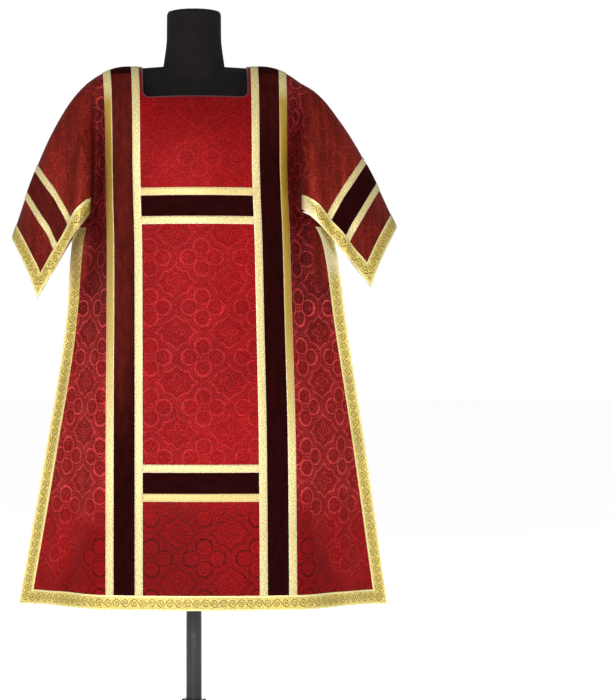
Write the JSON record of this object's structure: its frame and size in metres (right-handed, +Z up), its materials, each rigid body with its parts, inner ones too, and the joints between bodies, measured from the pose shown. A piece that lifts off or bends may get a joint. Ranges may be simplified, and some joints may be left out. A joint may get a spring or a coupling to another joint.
{
  "type": "dalmatic on a dress form",
  "caption": "Wide-sleeved liturgical tunic with contrasting stripes, cross bands and edge braids, open at the sides, worn by a limbless dress form on a round base.",
  "frame": {"origin": "centre of the base's underside, on the floor", "axes": "+Z up, the garment's front faces -Y, +X to the right of someone facing that front"},
  "size_m": [0.8654, 0.3861, 1.6006],
  "materials": {
    "brocade": "red figured brocade with a soft damask sheen",
    "velvet": "very dark red velvet with a brushed nap",
    "galloon": "wide gold braid woven with a running scroll",
    "narrow_braid": "narrow pale gold braid with a fine diamond weave",
    "piping": "dark red piping",
    "jersey": "black jersey stretched over a form",
    "stand": "black satin paint"
  },
  "bodies": {
    "root": {"front_panel": "brocade", "velvet_stripe_front_left": "velvet", "stripe_braid_front_left_inner": "narrow_braid", "stripe_braid_front_left_outer": "narrow_braid", "velvet_stripe_front_right": "velvet", "stripe_braid_front_right_inner": "narrow_braid", "stripe_braid_front_right_outer": "narrow_braid", "velvet_band_front_chest": "velvet", "band_braid_front_chest_upper": "narrow_braid", "band_braid_front_chest_lower": "narrow_braid", "velvet_band_front_knee": "velvet", "band_braid_front_knee_upper": "narrow_braid", "band_braid_front_knee_lower": "narrow_braid", "edge_galloon_front": "galloon", "back_panel": "brocade", "velvet_stripe_back_left": "velvet", "stripe_braid_back_left_inner": "narrow_braid", "stripe_braid_back_left_outer": "narrow_braid", "velvet_stripe_back_right": "velvet", "stripe_braid_back_right_inner": "narrow_braid", "stripe_braid_back_right_outer": "narrow_braid", "velvet_band_back_chest": "velvet", "band_braid_back_chest_upper": "narrow_braid", "band_braid_back_chest_lower": "narrow_braid", "velvet_band_back_knee": "velvet", "band_braid_back_knee_upper": "narrow_braid", "band_braid_back_knee_lower": "narrow_braid", "edge_galloon_back": "galloon", "sleeve_left": "brocade", "sleeve_galloon_left": "galloon", "sleeve_velvet_left": "velvet", "sleeve_braid_left_upper": "narrow_braid", "sleeve_braid_left_lower": "narrow_braid", "sleeve_right": "brocade", "sleeve_galloon_right": "galloon", "sleeve_velvet_right": "velvet", "sleeve_braid_right_upper": "narrow_braid", "sleeve_braid_right_lower": "narrow_braid", "neck_piping": "piping", "form_torso": "jersey", "form_pole": "stand", "form_base": "stand"}
  },
  "joints": []
}
